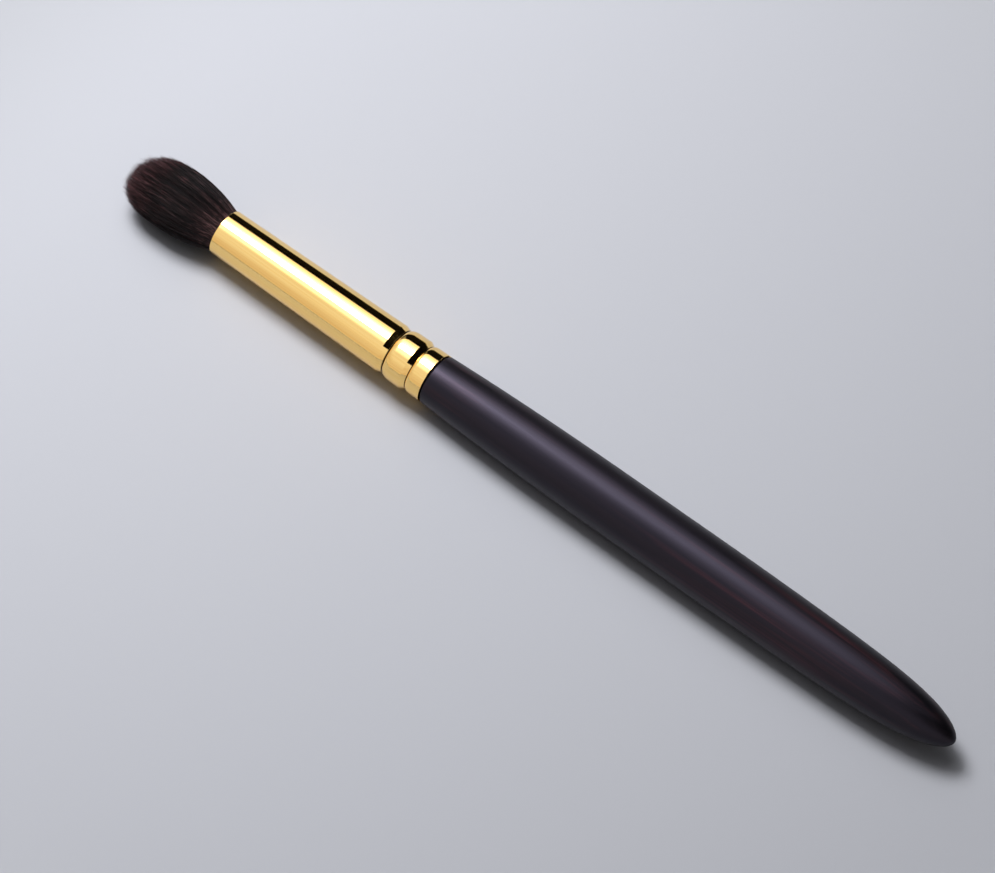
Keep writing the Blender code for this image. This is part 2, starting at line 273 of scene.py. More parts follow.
def soft_box(name, x_range, across_range, radiance):
    """A lamp above the brush; across_range is in degrees from overhead towards the far side."""
    tilt = radians(sum(across_range) / 2)
    half_spread = radians(across_range[1] - across_range[0]) / 2
    width = 2 * SOFT_BOX_DISTANCE * tan(half_spread)
    box = lamp_box(name, x_range[1] - x_range[0], width, radiance)
    box.location = (sum(x_range) / 2, SOFT_BOX_DISTANCE * sin(tilt), SOFT_BOX_DISTANCE * cos(tilt))
    box.rotation_euler = (-tilt, 0, 0)


soft_box("soft_box_core", (-330 * MM, -112 * MM), (0, 22), 17.0)
soft_box("soft_box_tail", (-112 * MM, 40 * MM), (0, 24), 1.5)
soft_box("soft_box_middle", (-340 * MM, -100 * MM), (-2, 31), 1.3)
soft_box("soft_box_inner", (-360 * MM, -75 * MM), (-15, 39), 0.8)
soft_box("soft_box_rim", (-420 * MM, -40 * MM), (-21, 49), 0.4)

side_box = lamp_box("side_box", SIDE_BOX_SIZE, SIDE_BOX_SIZE, SIDE_BOX_RADIANCE)
side_box.location = SIDE_BOX_PLACE
side_box.rotation_euler = SIDE_BOX_PLACE.to_track_quat("Z", "Y").to_euler()

# %% [markdown]
# ## The black flags
#
# A photographer hangs black cloths, called flags, where a mirror should go dark. One on the far side
# gives the thin black line along the ferrule's top, and one above the handle gives the dark slopes of the
# grooves. Each is a patch of a large dome, because a dome's angles are the mirror's angles, so its edges
# can be set by the place where the dark begins on the gold. They are seen in mirrors only and take no
# light away. The cloth isn't fully black, as real velvet isn't.

# %% The black flags
FLAG_RADIUS = 700 * MM
FLAG_STEP_DEGREES = 5

flag_material, tree, shader, place = new_material("black_velvet_flag")
shader.inputs["Base Color"].default_value = linear("#282622")
shader.inputs["Roughness"].default_value = 1.0
shader.inputs["Specular IOR Level"].default_value = 0.0


def flag(name, along_range, across_range):
    """A black patch of a dome, in degrees along the brush to the butt and across it to the far side."""
    rows = ceil((along_range[1] - along_range[0]) / FLAG_STEP_DEGREES)
    columns = ceil((across_range[1] - across_range[0]) / FLAG_STEP_DEGREES)
    points = []
    for row in range(rows + 1):
        along_angle = radians(along_range[0] + (along_range[1] - along_range[0]) * row / rows)
        for column in range(columns + 1):
            across_angle = radians(across_range[0] + (across_range[1] - across_range[0]) * column / columns)
            points.append(FLAG_RADIUS * Vector((
                sin(along_angle),
                cos(along_angle) * sin(across_angle),
                cos(along_angle) * cos(across_angle),
            )))
    width = columns + 1
    corners = [row * width + column for row in range(rows) for column in range(columns)]
    faces = [(first, first + 1, first + width + 1, first + width) for first in corners]
    mesh = bpy.data.meshes.new(name)
    mesh.from_pydata(points, [], faces)
    mesh.materials.append(flag_material)
    cloth = bpy.data.objects.new(name, mesh)
    bpy.context.scene.collection.objects.link(cloth)
    cloth.visible_camera = False
    cloth.visible_diffuse = False
    cloth.visible_shadow = False
    cloth.visible_transmission = False
    return cloth


far_flag = flag("far_flag", (-60, 85), (51, 89.5))
handle_flag = flag("handle_flag", (4, 85), (-34, 51))
print("flags:", far_flag.name, handle_flag.name)

# %% [markdown]
# ## Turning
#
# The handle is turned on a lathe and the ferrule is drawn and then rolled, so both are an outline swept
# round a line, which is what the Screw modifier does. The outline's corners are given with a rounding
# each, as on a drawing, and one function puts the arcs in.

# %% An outline with rounded corners
ARC_STEP = radians(7)


def rounded(corners):
    """An outline through (radius, height, rounding) corners, each turned into an arc of its rounding."""
    outline = []
    places = [Vector(corner[:2]) for corner in corners]
    for index, (radius, height, rounding) in enumerate(corners):
        here = places[index]
        if not rounding:
            outline.append((radius, height))
            continue
        back = (places[index - 1] - here).normalized()
        ahead = (places[(index + 1) % len(places)] - here).normalized()
        half_angle = back.angle(ahead) / 2
        middle = here + (back + ahead).normalized() * rounding / sin(half_angle)
        spoke = here + back * rounding / tan(half_angle) - middle
        last_spoke = here + ahead * rounding / tan(half_angle) - middle
        sweep = spoke.angle_signed(last_spoke)
        steps = max(2, ceil(abs(sweep) / ARC_STEP))
        for step in range(steps + 1):
            turn = -sweep * step / steps
            outline.append((
                middle.x + spoke.x * cos(turn) - spoke.y * sin(turn),
                middle.y + spoke.x * sin(turn) + spoke.y * cos(turn),
            ))
    return outline


# %% A turned piece
TURNING_STEPS = 256
WELD_DISTANCE = 0.0005 * MM
SHARP_ANGLE = radians(30)


def settled(piece):
    """The piece with its modifiers' result as its own mesh, smooth except at sharp edges."""
    bpy.context.view_layer.update()
    mesh = bpy.data.meshes.new_from_object(piece.evaluated_get(bpy.context.evaluated_depsgraph_get()))
    piece.modifiers.clear()
    piece.data = mesh
    mesh.shade_smooth()
    mesh.set_sharp_from_angle(angle=SHARP_ANGLE)
    return piece


def turned(name, outline, material, closed=False):
    """A lying piece turned from an outline of (radius, height) points that run down its outer side."""
    mesh = bpy.data.meshes.new(name)
    edges = [(index, index + 1) for index in range(len(outline) - 1)]
    if closed:
        edges.append((len(outline) - 1, 0))
    mesh.from_pydata([(radius, 0, height) for radius, height in outline], edges, [])
    mesh.materials.append(material)
    piece = bpy.data.objects.new(name, mesh)
    lay_down(piece)
    screw = piece.modifiers.new("Turning", "SCREW")
    screw.steps = TURNING_STEPS
    screw.render_steps = TURNING_STEPS
    screw.use_merge_vertices = True
    screw.merge_threshold = WELD_DISTANCE
    settled(piece)
    print(name, "has", len(piece.data.polygons), "faces")
    return piece


# %% [markdown]
# ## The ferrule
#
# The tube narrows a little towards the hair. Next to the handle it is rolled in twice onto the wooden
# tenon. Each groove is a slope that falls from a crisp edge, and then the next part springs up in a
# rolled crown: the bead between the grooves and the lip at the end begin round and end sharp. An ellipse
# gives the crown, because the roller leaves it steep at its foot and nearly flat at its top.

# %% The ferrule's sizes
MOUTH_RADIUS = 3.95 * MM
BARREL_RADIUS = 4.3 * MM
BEAD_RADIUS = 4.45 * MM
LIP_RADIUS = 4.28 * MM
GROOVE_RADIUS = 3.9 * MM
WALL = 0.3 * MM
LIP_LENGTH = 2.85 * MM
LOWER_GROOVE_WIDTH = 0.95 * MM
BEAD_LENGTH = 3.55 * MM
UPPER_GROOVE_WIDTH = 1.25 * MM
BARREL_LENGTH = 33.7 * MM
BEAD_CROWN_LENGTH = 1.5 * MM
LIP_CROWN_LENGTH = 0.9 * MM
CROWN_STEPS = 28
MOUTH_BORE = MOUTH_RADIUS - WALL
BARREL_BORE = BARREL_RADIUS - WALL
LIP_BORE = LIP_RADIUS - WALL
RIDGE_BORE = GROOVE_RADIUS - WALL

LIP_TOP = SEAM + LIP_LENGTH
BEAD_BOTTOM = LIP_TOP + LOWER_GROOVE_WIDTH
BEAD_TOP = BEAD_BOTTOM + BEAD_LENGTH
BARREL_BOTTOM = BEAD_TOP + UPPER_GROOVE_WIDTH
MOUTH = BARREL_BOTTOM + BARREL_LENGTH
print("ferrule in mm:", round((MOUTH - SEAM) / MM, 2), "long,", round(2 * BEAD_RADIUS / MM, 2), "across")

# %% [markdown]
# ## The ferrule's gold
#
# The tube is drawn brass with a polished gold plate. Gold mirrors red and yellow light almost fully and
# blue light weakly, so the colour is the metal's own and sits in the base colour, with Metallic at 1. A
# mirror polish with a faint haze is a roughness of 0.06 to 0.1. The drawing die leaves fine lines along
# the tube: they are too fine to show at this size, so they are drawn about four times as wide as the real
# ones, as slight changes of colour and a very low bump. The floors of the grooves are painted dark and
# dull in a thin line: painted shade, for the dark that their narrow crevices mirror.

# %% Polished gold plate
DRAW_LINE_WIDTH = 0.35 * MM
DRAW_LINE_LENGTH = 60 * MM
HAZE_SIZE = 3 * MM
GROOVE_SHADE_SOLID = 0.05 * MM
GROOVE_SHADE_REACH = 0.1 * MM
GROOVE_SHADE_ROUGHNESS = 0.35

gold, tree, shader, place = new_material("polished_gold_plate")
across = 1 / DRAW_LINE_WIDTH
lines_place = add(tree, "Mapping", {"Vector": place, "Scale": (across, across, 1 / DRAW_LINE_LENGTH)})
lines = add(tree, "TexNoise", {
    "Vector": lines_place.outputs["Vector"],
    "Scale": 1.0,
    "Detail": 2.0,
    "Roughness": 0.6,
})
haze = add(tree, "TexNoise", {"Vector": place, "Scale": 1 / HAZE_SIZE, "Detail": 3.0})
line_share = add(tree, "MapRange", {
    "Value": lines.outputs[0],
    "From Min": 0.3,
    "From Max": 0.7,
})
gold_colour = add(
    tree,
    "Mix",
    {MIX_FACTOR: line_share.outputs["Result"], MIX_A: linear("#FACE7C"), MIX_B: linear("#FFDA8B")},
    data_type="RGBA",
)
haze_roughness = add(tree, "MapRange", {
    "Value": haze.outputs[0],
    "From Min": 0.35,
    "From Max": 0.7,
    "To Min": 0.06,
    "To Max": 0.1,
})
# Painted shade: close to the grooves' floor radius, below the barrel, the colour is painted dark and the
# surface dull.
flattened = add(tree, "VectorMath", {0: place, 1: (1, 1, 0)}, operation="MULTIPLY")
off_axis = add(tree, "VectorMath", {0: flattened.outputs["Vector"]}, operation="LENGTH")
deep = add(tree, "MapRange", {
    "Value": off_axis.outputs["Value"],
    "From Min": GROOVE_RADIUS + GROOVE_SHADE_SOLID,
    "From Max": GROOVE_RADIUS + GROOVE_SHADE_REACH,
    "To Min": 1.0,
    "To Max": 0.0,
})
level = add(tree, "SeparateXYZ", {"Vector": place}).outputs["Z"]
near_grooves = add(tree, "Math", {0: level, 1: BARREL_BOTTOM + BEAD_LENGTH}, operation="LESS_THAN")
groove_shade = add(tree, "Math", {0: deep.outputs["Result"], 1: near_grooves.outputs[0]}, operation="MULTIPLY")
plate_colour = add(
    tree,
    "Mix",
    {MIX_FACTOR: groove_shade.outputs[0], MIX_A: gold_colour.outputs[MIX_RESULT], MIX_B: linear("#1E1406")},
    data_type="RGBA",
)
plate_roughness = add(tree, "Mix", {
    0: groove_shade.outputs[0],
    2: haze_roughness.outputs["Result"],
    3: GROOVE_SHADE_ROUGHNESS,
})
line_bump = add(tree, "Bump", {"Height": lines.outputs[0], "Strength": 0.06, "Distance": 0.02 * MM})
tree.links.new(plate_colour.outputs[MIX_RESULT], shader.inputs["Base Color"])
tree.links.new(plate_roughness.outputs[0], shader.inputs["Roughness"])
tree.links.new(line_bump.outputs["Normal"], shader.inputs["Normal"])
shader.inputs["Metallic"].default_value = 1.0
print("material:", gold.name)

# %% [markdown]
# ## The ferrule's form
#
# The outline runs down the outer side, from the mouth over the barrel, the bead and the lip, and back up
# the bore, so the tube has its real wall. Where the roller pressed the metal in, the bore has a ridge,
# which holds the tenon by its neck. The mouth's rim is rounded, so that it doesn't cut the hair.

# %% The ferrule's outline
EDGE_ROUND = 0.06 * MM
RIM_ROUND = 0.12 * MM
INNER_ROUND = 0.05 * MM


def crown(radius, top, length):
    """A rolled shoulder that springs from the groove's floor at top and swells to the radius below it."""
    turns = [pi / 2 * step / CROWN_STEPS for step in range(CROWN_STEPS + 1)]
    rise = radius - GROOVE_RADIUS
    return [(GROOVE_RADIUS + rise * sin(turn), top - length * (1 - cos(turn)), 0) for turn in turns]


ferrule_corners = [
    (MOUTH_BORE, MOUTH, INNER_ROUND),
    (MOUTH_RADIUS, MOUTH, RIM_ROUND),
    (BARREL_RADIUS, BARREL_BOTTOM, EDGE_ROUND),
    *crown(BEAD_RADIUS, BEAD_TOP, BEAD_CROWN_LENGTH),
    (BEAD_RADIUS, BEAD_BOTTOM, EDGE_ROUND),
    *crown(LIP_RADIUS, LIP_TOP, LIP_CROWN_LENGTH),
    (LIP_RADIUS, SEAM, EDGE_ROUND),
    (LIP_BORE, SEAM, 0),
    (LIP_BORE, LIP_TOP - WALL, 0),
    (RIDGE_BORE, LIP_TOP - WALL, 0),
    (RIDGE_BORE, BEAD_BOTTOM + WALL, 0),
    (LIP_BORE, BEAD_BOTTOM + WALL, 0),
    (LIP_BORE, BEAD_TOP - WALL, 0),
    (RIDGE_BORE, BEAD_TOP - WALL, 0),
    (RIDGE_BORE, BARREL_BOTTOM + WALL, 0),
    (BARREL_BORE, BARREL_BOTTOM + WALL, 0),
]
ferrule = turned("crimped_ferrule", rounded(ferrule_corners), gold, closed=True)
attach(ferrule, "root")
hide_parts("ferrule")

# %% [markdown]
# ## The handle's wood
#
# The handle is ebony, turned, sanded fine and oiled. Ebony is nearly black, with faint dark-red streaks
# along the grain and very fine pores, drawn here about twice as wide as they are, and an oiled finish is
# satin: it spreads the soft box into one broad grey band. The grain is a solid pattern, stretched along
# the brush, so that it runs out in long points where the handle tapers, as real grain does. Each streak
# is gathered from thin lines, which are drawn wide enough to show, and the streaks are turned about the
# brush's axis until they lie where the photograph has them.

# %% Oiled ebony
GRAIN_WIDTH = 0.9 * MM
GRAIN_LENGTH = 45 * MM
STREAK_WIDTH = 1.9 * MM
STREAK_LENGTH = 45 * MM
STREAK_TURN = radians(-14)
STREAK_SHIFT = (5.3, 2.2, 0.9)
STREAK_LINE_WIDTH = 0.42 * MM
PORE_WIDTH = 0.16 * MM
PORE_LENGTH = 2.2 * MM

ebony, tree, shader, place = new_material("oiled_ebony")
grain_place = add(tree, "Mapping", {
    "Vector": place,
    "Scale": (1 / GRAIN_WIDTH, 1 / GRAIN_WIDTH, 1 / GRAIN_LENGTH),
})
streak_place = add(tree, "Mapping", {
    "Vector": place,
    "Location": STREAK_SHIFT,
    "Rotation": (0, 0, STREAK_TURN),
    "Scale": (1 / STREAK_WIDTH, 1 / STREAK_WIDTH, 1 / STREAK_LENGTH),
})
streak_line_place = add(tree, "Mapping", {
    "Vector": place,
    "Scale": (1 / STREAK_LINE_WIDTH, 1 / STREAK_LINE_WIDTH, 1 / STREAK_LENGTH),
})
pore_place = add(tree, "Mapping", {
    "Vector": place,
    "Scale": (1 / PORE_WIDTH, 1 / PORE_WIDTH, 1 / PORE_LENGTH),
})
grain = add(tree, "TexNoise", {
    "Vector": grain_place.outputs["Vector"],
    "Scale": 1.0,
    "Detail": 3.0,
    "Distortion": 0.3,
})
streaks = add(tree, "TexNoise", {"Vector": streak_place.outputs["Vector"], "Scale": 1.0, "Detail": 4.0})
streak_lines = add(tree, "TexNoise", {
    "Vector": streak_line_place.outputs["Vector"],
    "Scale": 1.0,
    "Detail": 1.0,
})
pores = add(tree, "TexNoise", {"Vector": pore_place.outputs["Vector"], "Scale": 1.0, "Detail": 1.0})
grain_share = add(tree, "MapRange", {"Value": grain.outputs[0], "From Min": 0.35, "From Max": 0.65})
streak_share = add(tree, "MapRange", {"Value": streaks.outputs[0], "From Min": 0.5, "From Max": 0.7})
dark_wood = add(
    tree,
    "Mix",
    {MIX_FACTOR: grain_share.outputs["Result"], MIX_A: linear("#070607"), MIX_B: linear("#120E10")},
    data_type="RGBA",
)
line_share = add(tree, "MapRange", {
    "Value": streak_lines.outputs[0],
    "From Min": 0.35,
    "From Max": 0.68,
    "To Min": 0.1,
    "To Max": 1.0,
})
red_share = add(
    tree,
    "Math",
    {0: streak_share.outputs["Result"], 1: line_share.outputs["Result"]},
    operation="MULTIPLY",
)
wood_colour = add(
    tree,
    "Mix",
    {MIX_FACTOR: red_share.outputs[0], MIX_A: dark_wood.outputs[MIX_RESULT], MIX_B: linear("#381F21")},
    data_type="RGBA",
)
satin = add(tree, "MapRange", {
    "Value": grain.outputs[0],
    "From Min": 0.3,
    "From Max": 0.7,
    "To Min": 0.39,
    "To Max": 0.45,
})
pore_bump = add(tree, "Bump", {"Height": pores.outputs[0], "Strength": 0.12, "Distance": 0.02 * MM})
tree.links.new(wood_colour.outputs[MIX_RESULT], shader.inputs["Base Color"])
tree.links.new(satin.outputs["Result"], shader.inputs["Roughness"])
tree.links.new(pore_bump.outputs["Normal"], shader.inputs["Normal"])
shader.inputs["IOR"].default_value = 1.5
shader.inputs["Specular IOR Level"].default_value = 0.31
shader.inputs["Specular Tint"].default_value = linear("#EADFFF")
print("material:", ebony.name)

# %% [markdown]
# ## The handle
#
# From the shoulder the handle swells to its fullest part a third of the way along, stays full, and then
# tapers to a blunt round point. Two formulas give those curves. The tenon that goes up into the ferrule
# is turned from the same piece of wood, with a neck under each crimping groove.

# %% The handle's outline
SHOULDER_RADIUS = 4.24 * MM
SWELL_LENGTH = 36 * MM
BELLY_LENGTH = 14 * MM
TAIL_LENGTH = handle_high.x - SHOULDER.x - SWELL_LENGTH - BELLY_LENGTH
BELLY_RADIUS = AXIS_HEIGHT
SWELL_POWER = 2.25
TAIL_TAPER_SHARE = 0.18
BUTT_POWER = 8.0
BUTT_ROUNDNESS = 1.8
SHOULDER_ROUND = 0.14 * MM
SHOULDER_BAND = 3 * SHOULDER_ROUND
SWELL_STEPS = 40
TAIL_STEPS = 110
TAIL_CROWDING = 2.5
CLEARANCE = 0.3 * MM
TENON_LENGTH = 14 * MM
TENON_TIP_RADIUS = 3.0 * MM
TENON_CHAMFER = 0.5 * MM
TENON_RADIUS = LIP_BORE - CLEARANCE
NECK_RADIUS = GROOVE_RADIUS - WALL - CLEARANCE
NECK_REACH = WALL + CLEARANCE


def handle_outline():
    """The tenon's outline from its tip down, then the shoulder, the swell, the belly and the tail."""
    corners = [
        (0, TENON_LENGTH, 0),
        (TENON_TIP_RADIUS - TENON_CHAMFER, TENON_LENGTH, 0),
        (TENON_TIP_RADIUS, TENON_LENGTH - TENON_CHAMFER, 0),
        (TENON_TIP_RADIUS, BARREL_BOTTOM + NECK_REACH, 0),
        (NECK_RADIUS, BARREL_BOTTOM + NECK_REACH, 0),
        (NECK_RADIUS, BEAD_TOP - NECK_REACH, 0),
        (TENON_RADIUS, BEAD_TOP - NECK_REACH, 0),
        (TENON_RADIUS, BEAD_BOTTOM + NECK_REACH, 0),
        (NECK_RADIUS, BEAD_BOTTOM + NECK_REACH, 0),
        (NECK_RADIUS, LIP_TOP - NECK_REACH, 0),
        (TENON_RADIUS, LIP_TOP - NECK_REACH, 0),
        (TENON_RADIUS, 0, 0),
        (SHOULDER_RADIUS, 0, SHOULDER_ROUND),
        (SHOULDER_RADIUS, -SHOULDER_BAND, 0),
    ]
    outline = rounded(corners)[:-1]
    for step in range(1, SWELL_STEPS + 1):
        share = step / SWELL_STEPS
        radius = BELLY_RADIUS - (BELLY_RADIUS - SHOULDER_RADIUS) * (1 - share) ** SWELL_POWER
        outline.append((radius, -share * SWELL_LENGTH))
    for step in range(TAIL_STEPS):
        share = 1 - (1 - step / TAIL_STEPS) ** TAIL_CROWDING
        taper = 1 - TAIL_TAPER_SHARE * share ** 2
        end = (1 - share ** BUTT_POWER) ** (1 / BUTT_ROUNDNESS)
        height = -(SWELL_LENGTH + BELLY_LENGTH + share * TAIL_LENGTH)
        outline.append((BELLY_RADIUS * taper * end, height))
    outline.append((0, -(SWELL_LENGTH + BELLY_LENGTH + TAIL_LENGTH)))
    return outline


handle = turned("turned_handle", handle_outline(), ebony)
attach(handle, "root")
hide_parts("handle")

# %% [markdown]
# ## The hair's material
#
# Natural hair is dark brown, a little lighter and redder at its thin tips, and no two hairs have quite
# the same tone. Each hair carries two numbers, its tone and how far along it a point lies, and the
# material mixes four browns by them. At the neck of the bundle the colour is painted lighter, a painted
# sheen for the light that the smooth, close hairs catch there, and it is darker towards the belly. Short
# painted glints, lighter stretches of colour, run along the hair, drawn about four times as wide as a real
# hair so that they show. The same two numbers are the hair's place on a map, which an exporter can bake
# the colours through.

# %% Dark brown hair
HAIR_MAP = "OFBake"
GLINT_WIDTH = 0.19 * MM
GLINT_LENGTH = 3 * MM

hair_material, tree, shader, place = new_material("dark_brown_natural_hair")
tone = add(tree, "Attribute", attribute_name="tone")
along = add(tree, "Attribute", attribute_name="along")
# Painted glints: short stretches along each hair are painted lighter.
glint_place = add(tree, "Mapping", {
    "Vector": place,
    "Scale": (1 / GLINT_WIDTH, 1 / GLINT_WIDTH, 1 / GLINT_LENGTH),
})
glints = add(tree, "TexNoise", {"Vector": glint_place.outputs["Vector"], "Scale": 1.0, "Detail": 2.0})
glint = add(tree, "MapRange", {
    "Value": glints.outputs[0],
    "From Min": 0.4,
    "From Max": 0.65,
    "To Min": 0.22,
    "To Max": 2.15,
})
lit_tone = add(tree, "Math", {0: tone.outputs["Fac"], 1: glint.outputs["Result"]}, operation="MULTIPLY")
# Painted sheen: the colour is painted lighter at the neck and darker towards the belly.
painted_neck_sheen = add(tree, "MapRange", {
    "Value": along.outputs["Fac"],
    "From Min": 0.15,
    "From Max": 0.45,
    "To Min": 1.85,
    "To Max": 0.28,
})
shaft_tone = add(
    tree,
    "Math",
    {0: lit_tone.outputs[0], 1: painted_neck_sheen.outputs["Result"]},
    operation="MULTIPLY",
)
shaft = add(
    tree,
    "Mix",
    {MIX_FACTOR: shaft_tone.outputs[0], MIX_A: linear("#0A0607"), MIX_B: linear("#6C504F")},
    data_type="RGBA",
)
tip = add(
    tree,
    "Mix",
    {MIX_FACTOR: lit_tone.outputs[0], MIX_A: linear("#1D1213"), MIX_B: linear("#926567")},
    data_type="RGBA",
)
tip_share = add(tree, "MapRange", {"Value": along.outputs["Fac"], "From Min": 0.89, "From Max": 1.0})
hair_colour = add(
    tree,
    "Mix",
    {
        MIX_FACTOR: tip_share.outputs["Result"],
        MIX_A: shaft.outputs[MIX_RESULT],
        MIX_B: tip.outputs[MIX_RESULT],
    },
    data_type="RGBA",
)
tree.links.new(hair_colour.outputs[MIX_RESULT], shader.inputs["Base Color"])
shader.inputs["Roughness"].default_value = 0.45
shader.inputs["Specular IOR Level"].default_value = 0.13
print("material:", hair_material.name)

# %% [markdown]
# ## The hair head's form
#
# The bundle stands in the ferrule's mouth, spreads to its fullest a little above the head's middle, and
# ends in a dome. Blender's own hair curves could fill such a form, but an exporter wants closed meshes,
# so the form is first given as two radii: how far the outermost hairs have spread at a height, and the
# dome that their tips draw. The real dome isn't trimmed, but comes from hairs set at unlike heights.

# %% The head's outline
TIP_RESERVE = 1.2 * MM
HAIR_TIP = SHOULDER.x - hair_low.x - TIP_RESERVE
HEAD_LENGTH = HAIR_TIP - MOUTH
HEAD_RADIUS = (hair_high.y - hair_low.y) / 2
DOME_LENGTH = 8.1 * MM
HEAD_BELLY = HAIR_TIP - DOME_LENGTH
DOME_POWER = 3.1
APEX_SHIFT_SHARE = 0.2
DOME_WRAP_SHARE = 0.6
FLARE_POWER = 1.05
ROOT_DEPTH = 2.2 * MM
ROOT_SPREAD = 3.25 * MM
MOUTH_GAP = 0.03 * MM
MOUTH_SPREAD = MOUTH_BORE - MOUTH_GAP


def dome_radius(share):
    """The dome's radius, from the head's belly (share 0) to the hair's tip (share 1)."""
    return HEAD_RADIUS * np.sqrt(np.clip(1 - np.clip(share, 0, 1) ** DOME_POWER, 0, 1))


def spread_radius(height):
    """The radius to which the outermost hairs have spread at a height."""
    inside = ROOT_SPREAD + (MOUTH_SPREAD - ROOT_SPREAD) * (height - MOUTH + ROOT_DEPTH) / ROOT_DEPTH
    below = np.clip((HEAD_BELLY - height) / (HEAD_BELLY - MOUTH), 0, 1)
    flare = MOUTH_SPREAD + (HEAD_RADIUS - MOUTH_SPREAD) * (1 - below ** 2) ** FLARE_POWER
    wrap = dome_radius(DOME_WRAP_SHARE * (height - HEAD_BELLY) / DOME_LENGTH)
    return np.where(height <= MOUTH, inside, np.where(height >= HEAD_BELLY, wrap, flare))


print("head in mm:", round(HEAD_LENGTH / MM, 2), "long,", round(2 * HEAD_RADIUS / MM, 2), "across")

# %% [markdown]
# ## Where the hairs stand
#
# A real head of this size holds well over ten thousand fine hairs. Here 7,500 stand for them, each about
# twice as thick as a real one, so that they still fill the bundle. They are strewn evenly over its round
# section. Hair gathers in locks, so each tip is drawn a little towards the middle of its lock, and each
# lock and each hair wanders a little by itself. A hair ends where the dome is as wide as its own place in
# the bundle, with some scatter, and a few stray past it. The dome's top lies a little towards the near
# side.

# %% Hair places, locks and lengths
HAIR_SEED = 7
HEIGHT_SAMPLES = 400
HAIRS = 7500
LOCKS = 1300
HAIR_RADIUS = 0.045 * MM
GOLDEN_ANGLE = pi * (3 - sqrt(5))
LOCK_PULL_SHARE = 0.15
LOCK_WANDER_SHARE = 0.01
HAIR_WANDER_SHARE = 0.02
LENGTH_SCATTER = 0.52 * MM
TONE_POWER = 3.0
LOCK_TONE_SHARE = 0.6
STRAY_SHARE = 0.03
STRAY_REACH = 0.5 * MM
random = np.random.default_rng(HAIR_SEED)


def sunflower(count):
    """Evenly strewn places in a unit disc, as (x, y) rows, like the seeds of a sunflower."""
    index = np.arange(count) + 0.5
    radius = np.sqrt(index / count)
    return np.stack([radius * np.cos(index * GOLDEN_ANGLE), radius * np.sin(index * GOLDEN_ANGLE)], axis=1)


root_places = sunflower(HAIRS)
lock_places = sunflower(LOCKS)
gaps = np.linalg.norm(root_places[:, None] - lock_places[None], axis=2)
lock_of = gaps.argmin(axis=1)
lock_wander = random.normal(0, LOCK_WANDER_SHARE, (LOCKS, 2))
hair_wander = random.normal(0, HAIR_WANDER_SHARE, (HAIRS, 2))
pull = LOCK_PULL_SHARE * (lock_places[lock_of] - root_places)
tip_places = root_places + pull + lock_wander[lock_of] + hair_wander
too_far = np.maximum(np.linalg.norm(tip_places, axis=1), 1)
tip_places = tip_places / too_far[:, None]

heights = np.linspace(HEAD_BELLY, HAIR_TIP, HEIGHT_SAMPLES)
place_shares = dome_radius((heights - HEAD_BELLY) / DOME_LENGTH) / spread_radius(heights)
from_axis = np.linalg.norm(tip_places, axis=1)
from_apex = np.hypot(tip_places[:, 0], tip_places[:, 1] + APEX_SHIFT_SHARE * (1 - from_axis ** 2))
tip_heights = np.interp(-from_apex, -place_shares, heights)
tip_heights += random.normal(0, LENGTH_SCATTER, HAIRS)
strays = random.random(HAIRS) < STRAY_SHARE
tip_heights += strays * random.random(HAIRS) * STRAY_REACH
tip_heights = np.minimum(tip_heights, HAIR_TIP + STRAY_REACH)

lock_tone = random.random(LOCKS) ** TONE_POWER
hair_tone = random.random(HAIRS) ** TONE_POWER
tones = LOCK_TONE_SHARE * lock_tone[lock_of] + (1 - LOCK_TONE_SHARE) * hair_tone
print("hairs:", HAIRS, "in", LOCKS, "locks;", int(strays.sum()), "strays")

# %% [markdown]
# ## The hairs' lines
#
# Each hair is a line of a few stations, from the resin to its tip. It leaves its root's place for its
# tip's place as it rises, and the whole bundle spreads with the head's form. Two slow waves, one for the
# lock and one for the hair, keep the lines from looking ruled. A few hairs stand a little loose. The
# surface that the brush lies on presses the underside flat, and the head leans a little to the near side.

# %% Hair centre lines
STATIONS = 11
GATHER_POWER = 1.2
LOCK_WAVE = 0.07 * MM
LOCK_WAVE_LENGTH = 9 * MM
HAIR_WAVE = 0.07 * MM
HAIR_WAVE_LENGTH = 6.5 * MM
LOOSE_SHARE = 0.06
LOOSE_REACH = 0.35 * MM
HEAD_LEAN = 0.35 * MM
LEAN_POWER = 2.0

steps = np.linspace(0, 1, STATIONS)
root_height = MOUTH - ROOT_DEPTH
levels = root_height + steps[None] * (tip_heights - root_height)[:, None]
gather = np.clip((levels - MOUTH) / HEAD_LENGTH, 0, 1) ** GATHER_POWER
across_places = root_places[:, None] + gather[..., None] * (tip_places - root_places)[:, None]
reach = spread_radius(levels) - HAIR_RADIUS
centres = across_places * reach[..., None]
lock_starts = random.random((LOCKS, 2))[lock_of] * 2 * pi
hair_starts = random.random((HAIRS, 2)) * 2 * pi
for sway, length, starts in (
    (LOCK_WAVE, LOCK_WAVE_LENGTH, lock_starts),
    (HAIR_WAVE, HAIR_WAVE_LENGTH, hair_starts),
):
    turns = 2 * pi * (levels / length)[..., None] + starts[:, None]
    centres += sway * gather[..., None] * np.sin(turns)
loose = (random.random(HAIRS) < LOOSE_SHARE) * random.random(HAIRS) * LOOSE_REACH
centres *= 1 + (loose[:, None] * gather / HEAD_RADIUS)[..., None]
pressed = np.minimum(1, (AXIS_HEIGHT - 2 * HAIR_RADIUS) / reach)
centres[..., 0] = np.where(centres[..., 0] < 0, centres[..., 0] * pressed, centres[..., 0])
rise = np.clip((levels - MOUTH) / HEAD_LENGTH, 0, 1)
centres[..., 1] -= HEAD_LEAN * rise ** LEAN_POWER
print("lowest hair centre above the floor in mm:", round((AXIS_HEIGHT + centres[..., 0].min()) / MM, 3))

